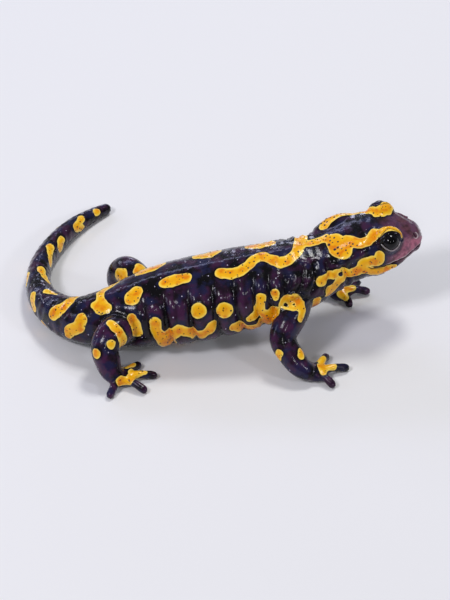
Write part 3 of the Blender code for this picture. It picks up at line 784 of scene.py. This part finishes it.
def onLid(side, turn, out):
    # The skin's point at a turn round the eye's opening and a distance past its edge.
    gaze, along, across = eyeAxes(side)
    sine, cosine = math.sin(math.radians(turn)), math.cos(math.radians(turn))
    wide, above, below = eyes["opening"]
    edge = 1 / math.hypot(cosine / wide, sine / (above if sine > 0 else below))
    swing = math.radians(edge) + out / eyes["radius"] * eyes["usual"] / edge
    way = gaze * math.cos(swing) + (along * cosine + across * sine) * math.sin(swing)
    middle = eyePlace(side)
    hit = skinTree.ray_cast(Vector(middle), Vector(way))[0]
    return middle + way * (eyes["radius"] + 0.5) if hit is None else np.array(hit)


def chainPlaces(region, chain):
    # The middles of a chain's blots and their radii.
    if region == "places":
        return [np.array(row[:3]) for row in chain], [row[3] for row in chain]
    if region.endswith("Lid"):
        side = 1 if region == "rightLid" else -1
        return [onLid(side, turn, out) for turn, out, _ in chain], [row[2] for row in chain]
    tube = body if region == "body" else limbs[region]
    rows = [chain[0]]
    for row, following in zip(chain, chain[1:]):
        rows += [np.add(row, following) / 2, following]  # the halfway row keeps it on the skin
    return [onSkin(skinTree, tube, s, turn) for s, turn, _ in rows], [row[2] for row in rows]


def markSkin():
    # Distance from the edge of the markings at each point of the skin: negative inside them.
    reach = {"body": outside - np.where(station < 30, *straying["body"])}
    for name, (_, _, out) in limbReach.items():
        reach[name] = out - straying["limb"]

    def distance(region, chain):
        gap = chainDistance(points, *chainPlaces(region, chain))
        return gap + straying["fading"] * np.maximum(reach.get(region, 0.0), 0.0)

    yellow = np.full(len(points), 50.0)
    for region, chains in markings.items():
        for chain in chains:
            yellow = -blend * np.logaddexp(-yellow / blend, -distance(region, chain) / blend)
    for region, chains in darkSpots.items():
        for chain in chains:
            yellow = np.maximum(yellow, -distance(region, chain))
    return yellow


tinting = {
    "lipLine": 0.32,  # half width of the painted shade along the mouth's line
    "faceHighlight": (0.66, 0.2),  # height of the painted highlight over it, along the upper lip, and half width
    "snout": (4.5, 12.5),  # stations over which its colour fades
    # painted highlight on the lower lids' edges
    "paleGlint": (0.7, 0.13, 0.075),  # strength, distance past the opening's edge, and half width
    # painted shade in the fold over each upper lid: strength, distance past the edge, half width
    "lidCrease": (0.9, 1.68, 0.2),
    "nostril": 0.75,  # radius of the painted shade in it
    # painted highlight under each nostril's rim: strength, distance and half width
    "nostrilRim": (0.7, 1.15, 0.16),
    "ridge": (0.5, 0.22),  # strength and half width of the painted highlight along it
    "joint": (0.6, 0.45),  # strength and width of the painted shade in the crease of a limb
}


def tintSkin(yellow):
    # What the skin's material reads at each point.
    turned = np.abs(angle)
    head, trunk = onHead(points), 1 - smooth(1.0, 2.0, outside)
    gap, present = lipGap(points, station)
    face = head * (points[:, 2] > finer["headAbove"]) * present
    # Painted shade along the mouth's groove.
    creaseShade = dip(gap, tinting["lipLine"]) * face
    # A painted highlight along the upper lip's edge.
    height, width = tinting["faceHighlight"]
    faceHighlight = dip(gap - height, width) * face * (1 - smooth(9.0, 12.0, station))
    faceHighlight *= 0.45 + 0.55 * smooth(-1.0, 3.0, station)
    rim, hollowShade, shade = np.zeros((3, len(points)))
    for side in bothSides:
        lid, level = lidGap(points, side)
        away = distances(points, eyePlace(side)) - eyes["radius"]
        close = away < 1.6
        # A painted highlight along each lower lid's edge.
        strength, out, width = tinting["paleGlint"]
        edge = strength * close * dip(lid - out, width) * (1 - smooth(-26, -6, level))
        rim = np.maximum(rim, edge)
        # Painted shade in the fold over the upper lid.
        strength, out, width = tinting["lidCrease"]
        creaseShade = np.maximum(creaseShade, strength * close * dip(lid - out, width) * smooth(2, 12, level))
        # Painted shade under the upper lid's edge, round the top of the eye.
        hollowShade = np.maximum(hollowShade, close * (1 - smooth(0.25, 0.5, lid)) * smooth(0, 8, level))
        shade = np.maximum(shade, 1 - smooth(0.9, 2.6, away))
        # Painted shade in the nostril, and a painted highlight under its rim.
        hole = onForm("nostril", side)
        away, under = distances(points, hole), points @ headUp < hole @ headUp + 0.3
        hollowShade = np.maximum(hollowShade, dip(away, tinting["nostril"]))
        strength, out, width = tinting["nostrilRim"]
        faceHighlight = np.maximum(faceHighlight, strength * dip(away - out, width) * under)
        # A painted highlight along the ridge from the eye to the nostril.
        ridge = [body.surface(s, turn * side)[0] for s, turn in folds["paleRidge"]]
        strength, width = tinting["ridge"]
        away = chainDistance(points, ridge, [0.0] * len(ridge))
        faceHighlight = np.maximum(faceHighlight, strength * dip(away, width))
    cheek = 0.25 + 0.75 * band(turned, 38, 62, 112, 135)
    snout = (1 - smooth(*tinting["snout"], station)) * (points[:, 2] > 15) * cheek * (1 - shade)
    groove, full = costalRelief(station, angle)
    # Millimetres along and round each form, for the fine wrinkles that run across it.
    along, around, nearest = station, np.radians(angle) * 10.0, outside
    # Painted shade where a limb leaves the body, off the markings.
    strength, width = tinting["joint"]
    for s, turn, out in limbReach.values():
        joint = dip(outside - 0.1, width) * dip(out - 0.1, width) * (yellow < 0.1)
        creaseShade = np.maximum(creaseShade, strength * joint)
        closer = out < nearest
        along, nearest = np.where(closer, s, along), np.where(closer, out, nearest)
        around = np.where(closer, np.radians(turn) * 4.0, around)
    return {
        "marking": np.clip(yellow, -5.0, 5.0),
        # painted shade: the markings turn more orange down the flanks towards the belly
        "low": smooth(70, 125, turned) * (1 - smooth(1.5, 3.0, outside)),
        "snout": snout * np.where(head, 0.25 + 0.75 * smooth(-0.4, 0.4, gap), 1.0),
        # painted highlights on lips, lower lids, nostril rims and ridge; painted shade in folds and
        # hollows
        "faceHighlight": faceHighlight, "creaseShade": creaseShade, "rim": rim, "hollowShade": hollowShade,
        # painted highlight: purple on the crests between the costal grooves
        "crestLight": (full - 0.4) * trunk,
        # painted shade: black in the costal grooves, the folds and where the limbs leave the body
        "furrowShade": np.clip(np.maximum(furrowShade, np.sqrt(groove) * trunk), 0.0, 1.0),
        "along": along, "around": 0.16 * around,
    }


yellow = markSkin()
tints = tintSkin(yellow)
for name, values in tints.items():
    setAttribute(flesh.data, name, values)
print("markings laid on the skin")

skinColours = {
    # black, brown, orange: partly painted shade; purple and the pale last one: painted highlight
    "black": "#050407", "purple": "#421E40", "blue": "#1B1E41", "lip": "#B46E84",
    "yellow": "#F9BA16", "light": "#FFD448", "orange": "#E6820C", "rim": "#FFE06A",
    "brown": "#3A1608", "paleGlint": "#DCD2D2",
}
skinLook = {
    "wobble": 0.3,  # how far the edges of the markings wander, in millimetres
    "wrinkles": 0.7,  # height of the wrinkles beside that of the grain
    "bump": 0.22,
    "bumpDepth": 0.0003,
    "poreCells": 700.0,  # per metre: about one to each 1.4 mm, which is coarser than in life
}


def makeSkinMaterial():
    # Living amphibian skin: black and golden yellow pigment under a clear film of slime, so its
    # colours are deep and its lights are small and sharp.
    material = newMaterial("wet amphibian skin")
    tree = material.node_tree
    place = addNode(tree, "TexCoord").outputs["Object"]
    made = {}
    for name in tints:
        made[name] = addNode(tree, "Attribute", attribute_name=name).outputs["Fac"]
    # Cells per metre and detail: 210 is a cloud of about 5 mm, and 900 a grain of about 1 mm.
    for name, scale, detail in (
        ("edge", 420.0, 1.0), ("clouds", 330.0, 2.0), ("rise", 210.0, 3.0),
        ("bloom", 260.0, 2.0), ("mottle", 620.0, 3.0), ("grain", 900.0, 3.0),
    ):
        made[name] = addNode(tree, "TexNoise", {"Vector": place, "Scale": scale, "Detail": detail})
    # Millimetres across the edge of the markings, which wanders a little.
    wobble = 2.5 * skinLook["wobble"]
    wander = addNode(tree, "Math", [made["edge"], wobble, -wobble / 2], operation="MULTIPLY_ADD")
    made["gap"] = addNode(tree, "Math", [made["marking"], wander], operation="ADD")
    cells = addNode(tree, "TexVoronoi", {"Vector": place, "Scale": skinLook["poreCells"]})
    made["pore"] = cells.outputs["Color"]
    # Each softly limited: its source, where it starts and ends, and what it is there.
    for name, source, *limits in (
        ("clouds", "clouds", 0.46, 0.68, 0.0, 0.85), ("deep", "gap", -0.9, -2.6, 0.0, 0.35),
        ("pale", "gap", -1.1, -0.25, 0.0, 1.0), ("halo", "gap", -0.42, -0.12, 0.0, 0.75),
        ("pore", "pore", 0.3, 1.0, 0.0, 0.26), ("rise", "rise", 0.36, 0.66, 0.0, 1.0),
        ("away", "gap", 0.1, 1.4, 0.0, 1.0), ("bloom", "bloom", 0.45, 0.66, 0.0, 0.85),
        ("mottle", "mottle", 0.3, 0.62, 0.45, 1.0), ("inside", "gap", 0.07, -0.07, 0.0, 1.0),
    ):
        inputs = [made[source], *limits]
        made[name] = addNode(tree, "MapRange", inputs, interpolation_type="SMOOTHSTEP")
    inputs = [cells.outputs["Distance"], made["pore"]]
    made["pore"] = addNode(tree, "Math", inputs, operation="LESS_THAN")
    # Sums and products, each of a factor, what it is multiplied by and what is added.
    for name, *terms in (
        # orange: painted shade down the flanks, over random clouds and the markings' orange middles
        ("orange", "low", 0.45, "clouds"), ("orange", "deep", 1.0, "orange"),
        # purple: painted highlight on the costal crests, over random tone
        ("pore", "pore", 0.7, 0.0), ("purple", "crestLight", 0.6, "rise"),
        ("purple", "purple", "away", 0.0), ("snout", "snout", "mottle", 0.0),
        ("snout", "snout", "away", 0.0), ("faceHighlight", "faceHighlight", 0.9, 0.0),
    ):
        inputs = [made.get(term, term) for term in terms]
        made[name] = addNode(tree, "Math", inputs, operation="MULTIPLY_ADD", use_clamp=True)
    # Coats of colour: each is laid on its ground by its amount, over the ones before it.
    colours = {name: linear(value) for name, value in skinColours.items()}
    colours["skin"] = colours["black"]
    # Brown along the mouth, over the upper lids and round the limbs is painted shade.
    for ground, amount, coat in (
        ("yellow", "pale", "light"), ("yellow", "orange", "orange"), ("yellow", "halo", "rim"),
        ("yellow", "pore", "brown"), ("skin", "purple", "purple"), ("skin", "bloom", "blue"),
        # black in the grooves and folds is painted shade
        ("skin", "snout", "lip"), ("skin", "furrowShade", "black"), ("skin", "inside", "yellow"),
        # black in the nostrils and under the upper lids is painted shade
        ("skin", "hollowShade", "black"), ("skin", "creaseShade", "brown"), ("skin", "rim", "paleGlint"),
        # painted highlight: the pale lid colour on the lower lids' edges, lips, nostril rims and
        # ridge
        ("skin", "faceHighlight", "paleGlint"),
    ):
        inputs = {0: made[amount], 6: colours[ground], 7: colours[coat]}
        colours[ground] = addNode(tree, "Mix", inputs, data_type="RGBA")
    # Fine wrinkles run across the body and limbs, one or two to the millimetre, over the grain.
    across = addNode(tree, "CombineXYZ", [made["along"], made["around"]])
    wrinkles = addNode(tree, "TexNoise", {"Vector": across, "Scale": 1.3, "Detail": 2.0})
    inputs = [wrinkles, skinLook["wrinkles"], made["grain"]]
    height = addNode(tree, "Math", inputs, operation="MULTIPLY_ADD")
    inputs = {"Height": height, "Strength": skinLook["bump"], "Distance": skinLook["bumpDepth"]}
    bump = addNode(tree, "Bump", inputs)
    fillInputs(tree, tree.nodes["Principled BSDF"], {
        "Base Color": colours["skin"], "Roughness": 0.42, "IOR": 1.12, "Normal": bump,
        "Coat Weight": 1.0, "Coat Roughness": 0.14, "Coat IOR": 1.3, "Coat Normal": bump,
    })
    return material


flesh.data.materials.clear()
flesh.data.materials.append(makeSkinMaterial())

glands = {
    # Each kind's least spacing, number to the square millimetre and radii. They are coarser than
    # in life, so that they show.
    # Pores open all over the yellow, and the parotoids have the largest ones.
    "glandPores": {
        "where": "porous", "spacing": 1.15, "density": 0.8, "smallest": 0.11, "largest": 0.28,
        "height": 0.3, "seed": 4, "finish": ("wet gland pore", "#331209", 0.5),
    },
    # Low granules over the black skin, which each catch a light.
    "skinGranules": {
        "where": "granular", "spacing": 1.5, "density": 0.5, "smallest": 0.07, "largest": 0.17,
        "height": 0.4, "seed": 9, "finish": ("wet black granule", "#0B080D", 0.3),
    },
    # A few pale ones stand out of the black like drops; their pale colour is painted highlight.
    "glintSpecks": {
        "where": "granular", "spacing": 2.6, "density": 0.075, "smallest": 0.1, "largest": 0.23,
        "height": 0.4, "seed": 21, "finish": ("pale glint granule", "#A9A2B8", 0.25),
    },
}


def markGlands(mesh, yellow):
    # Where the pores and granules may lie, and how large they are there.
    gland, clear = np.zeros(len(points)), np.ones(len(points))
    for side in bothSides:
        for place in ((25.5, 18), (23.5, 34)):
            gland = np.maximum(gland, lineDistance(points, skinTree, [place], side) < 3.4)
        clear *= distances(points, eyePlace(side)) >= eyes["radius"] + 0.75
    gap, present = lipGap(points, station)
    clear *= 1 - (np.abs(gap) < 0.7) * present * onHead(points)
    feet = smooth(1.0, 5.5, points[:, 2])
    behind = 1 - 0.8 * smooth(-4, 4, 10 - station)  # few on the snout
    porous = smooth(0.35, 0.6, -yellow) * clear * (0.5 + 0.5 * gland) * (0.3 + 0.7 * feet)
    setAttribute(mesh, "porous", porous)
    setAttribute(mesh, "granular", smooth(0.5, 0.8, yellow) * clear * feet * behind)
    setAttribute(mesh, "glandSize", 1.2 + 0.8 * gland)


def makeGlandTree():
    # Small domes at random spots of a surface, each turned to face along its normal.
    tree = bpy.data.node_groups.new("scatteredGlands", "GeometryNodeTree")
    for name, kind in (
        ("Geometry", "Geometry"), ("where", "String"), ("spacing", "Float"), ("density", "Float"),
        ("smallest", "Float"), ("largest", "Float"), ("height", "Float"), ("seed", "Int"),
        ("finish", "Material"),
    ):
        tree.interface.new_socket(name, in_out="INPUT", socket_type="NodeSocket" + kind)
    tree.interface.new_socket("Geometry", in_out="OUTPUT", socket_type="NodeSocketGeometry")
    given = addNode(tree, "NodeGroupInput").outputs
    where, local = (
        addNode(tree, "GeometryNodeInputNamedAttribute", {"Name": name}, data_type="FLOAT")
        for name in (given["where"], "glandSize")
    )
    spots = addNode(tree, "GeometryNodeDistributePointsOnFaces", {
        "Mesh": given["Geometry"], "Distance Min": given["spacing"], "Seed": given["seed"],
        "Density Max": given["density"], "Density Factor": where,
    }, distribute_method="POISSON").outputs
    inputs = {2: given["smallest"], 3: given["largest"], "Seed": given["seed"]}
    chance = addNode(tree, "FunctionNodeRandomValue", inputs, data_type="FLOAT")
    size = addNode(tree, "Math", [chance, local], operation="MULTIPLY")
    rise = addNode(tree, "Math", [size, given["height"]], operation="MULTIPLY")
    scale = addNode(tree, "CombineXYZ", [size, size, rise])
    inputs = {"Segments": 10, "Rings": 5, "Radius": 1.0}
    dome = addNode(tree, "GeometryNodeMeshUVSphere", inputs)
    placed = addNode(tree, "GeometryNodeInstanceOnPoints", {
        "Points": spots["Points"], "Instance": dome, "Rotation": spots["Rotation"], "Scale": scale,
    })
    real = addNode(tree, "GeometryNodeRealizeInstances", {"Geometry": placed})
    soft = addNode(tree, "GeometryNodeSetShadeSmooth", {"Geometry": real})
    inputs = {"Geometry": soft, "Material": given["finish"]}
    finished = addNode(tree, "GeometryNodeSetMaterial", inputs)
    addNode(tree, "NodeGroupOutput", {"Geometry": finished})
    return tree


def makeGlands(name, tree, values):
    # Wet glands: domes under the same film of slime as the skin, so each shows a small light.
    finish, colour, roughness = values["finish"]
    material = newMaterial(finish, {
        "Base Color": linear(colour), "Roughness": roughness, "IOR": 1.36,
        "Coat Weight": 0.6, "Coat Roughness": 0.1,
    })
    made = newObject(name, flesh.data.copy())
    scatter = made.modifiers.new("scatter", "NODES")
    scatter.node_group = tree
    values = dict(values, finish=material)
    for socket in tree.interface.items_tree:
        if socket.in_out == "INPUT" and socket.name in values:
            scatter[socket.identifier] = values[socket.name]
    applyModifiers(made)
    print(name, "made:", len(made.data.polygons), "faces")
    return made


markGlands(flesh.data, yellow)
glandTree = makeGlandTree()
scattered = [makeGlands(name, glandTree, values) for name, values in glands.items()]


def makeEye(side, name):
    # The eye's ball, with its cornea standing a little proud between the lids.
    gaze, along, _ = eyeAxes(side)
    bm = bmesh.new()
    bmesh.ops.create_uvsphere(bm, u_segments=72, v_segments=48, radius=1.0)
    axes = np.array([along, np.cross(gaze, along), gaze])
    directions = unit(np.array([v.co for v in bm.verts]) @ axes)
    fromGaze = np.degrees(np.arccos(np.clip(directions @ gaze, -1.0, 1.0)))
    proud, halfAngle = eyes["cornea"]
    radii = eyes["radius"] + proud * dip(fromGaze, halfAngle)
    for v, direction, radius in zip(bm.verts, directions, radii):
        v.co = eyePlace(side) + direction * radius
    bmesh.ops.recalc_face_normals(bm, faces=bm.faces)
    made = meshObject(name, bm)
    setAttribute(made.data, "fromGaze", fromGaze)
    made.data.shade_smooth()
    return made


eyeLook = {
    "pupil": "#020203",
    # Round it: colours, and the degrees from the gaze over which each sets in.
    "iris": ("#0C0A12", 24, 28),
    "ball": ("#040407", 42, 48),
}


def makeEyeMaterial():
    # Dark eye: a near-black iris behind a clear cornea, which gives one sharp light.
    material = newMaterial("wet dark eye")
    tree = material.node_tree
    turned = addNode(tree, "Attribute", attribute_name="fromGaze").outputs["Fac"]
    colour = linear(eyeLook["pupil"])
    for ring, start, end in (eyeLook["iris"], eyeLook["ball"]):
        amount = addNode(tree, "MapRange", [turned, start, end], interpolation_type="SMOOTHSTEP")
        inputs = {0: amount, 6: colour, 7: linear(ring)}
        colour = addNode(tree, "Mix", inputs, data_type="RGBA")
    fillInputs(tree, tree.nodes["Principled BSDF"], {
        "Base Color": colour, "Roughness": 0.2, "IOR": 1.05,
        "Coat Weight": 1.0, "Coat Roughness": 0.03, "Coat IOR": 1.32,
    })
    return material


eyeMaterial = makeEyeMaterial()
eyeObjects = [makeEye(side, name) for side, name in ((1, "eyeRight"), (-1, "eyeLeft"))]
for made in eyeObjects:
    made.data.materials.append(eyeMaterial)
print("eyes made")

flesh.data.shade_smooth()
toFrame = Matrix.Scale(mm, 4) @ Matrix.Translation(Vector(-centre))
for made in (flesh, *scattered, *eyeObjects):
    made.data.transform(toFrame)

studio = {
    "floor": "#EEEEEE",
    "floorReach": 3.0,
    "world": ("#ECECF1", 0.22),
    "aim": (0.0, 0.0, 0.015),  # what the softboxes face
    # Softboxes: place, size across and up, power in watts and colour.
    "lights": [
        ((-0.62, -0.40, 0.85), (0.22, 0.22), 4.4, "#FAF8FF"),
        ((0.30, 0.36, 0.92), (0.21, 0.21), 3.8, "#FFFFFF"),
        ((0.60, -0.55, 0.55), (0.10, 0.10), 1.1, "#F2F3FF"),
        ((-0.15, -0.95, 0.75), (0.09, 0.09), 1.1, "#FFFFFF"),
        ((-0.20, 0.85, 0.60), (0.60, 0.12), 1.6, "#CDD2FF"),
        ((-0.75, 0.85, 0.38), (0.50, 0.08), 1.3, "#DDE2FF"),
        ((-0.95, 0.10, 0.32), (0.10, 0.40), 0.8, "#DDE2FF"),
        ((0.17, 0.98, 0.16), (0.18, 0.12), 0.6, "#DDE2FF"),
    ],
}


def makeStudio():
    bm = bmesh.new()
    bmesh.ops.create_grid(bm, x_segments=1, y_segments=1, size=studio["floorReach"])
    floor = meshObject("studioFloor", bm)
    # Matt card: nearly without a sheen, so the floor shows soft shadows and no mirror image.
    card = {"Base Color": linear(studio["floor"]), "Roughness": 0.9, "Specular IOR Level": 0.2}
    floor.data.materials.append(newMaterial("matt white card", card))
    colour, strength = studio["world"]
    world = bpy.data.worlds.new("studio air")
    world.use_nodes = True
    sky = world.node_tree.nodes["Background"]
    fillInputs(world.node_tree, sky, {"Color": linear(colour), "Strength": strength})
    scene.world = world
    scene.view_settings.view_transform = "Standard"  # keeps the yellows deep
    for number, (place, size, power, tint) in enumerate(studio["lights"]):
        lamp = bpy.data.lights.new(f"softbox{number + 1}", "AREA")
        lamp.shape, lamp.size, lamp.size_y = "RECTANGLE", size[0], size[1]
        lamp.energy, lamp.color = power, linear(tint)[:3]
        holder = newObject(lamp.name, lamp)
        holder.location = place
        facing = Vector(studio["aim"]) - Vector(place)
        holder.rotation_euler = facing.to_track_quat("-Z", "Y").to_euler()


view = {
    "azimuth": -10.0,
    "elevation": 40.0,
    "distance": 1.6,
    "lens": 291.0,
    "aim": (-0.0005, -0.0100, 0.0072),
}


def makeCamera():
    turn, tilt = math.radians(view["azimuth"]), math.radians(view["elevation"])
    ahead = math.cos(tilt)
    back = Vector((math.sin(turn) * ahead, -math.cos(turn) * ahead, math.sin(tilt)))
    lens = bpy.data.cameras.new("portraitCamera")
    lens.sensor_fit, lens.sensor_height, lens.lens = "VERTICAL", 36.0, view["lens"]
    lens.clip_start, lens.clip_end = 0.01, 20.0
    camera = newObject("portraitCamera", lens)
    camera.location = Vector(view["aim"]) + back * view["distance"]
    camera.rotation_euler = back.to_track_quat("Z", "Y").to_euler()
    scene.camera = camera


makeStudio()
makeCamera()
print("studio set")

fleshNodes = [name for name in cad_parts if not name.startswith("eye")]
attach(flesh, "root")
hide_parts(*fleshNodes)
for made in scattered:
    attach(made, "root")
for made, node in zip(eyeObjects, ("eye_right", "eye_left")):
    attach(made, "root")
    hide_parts(node)
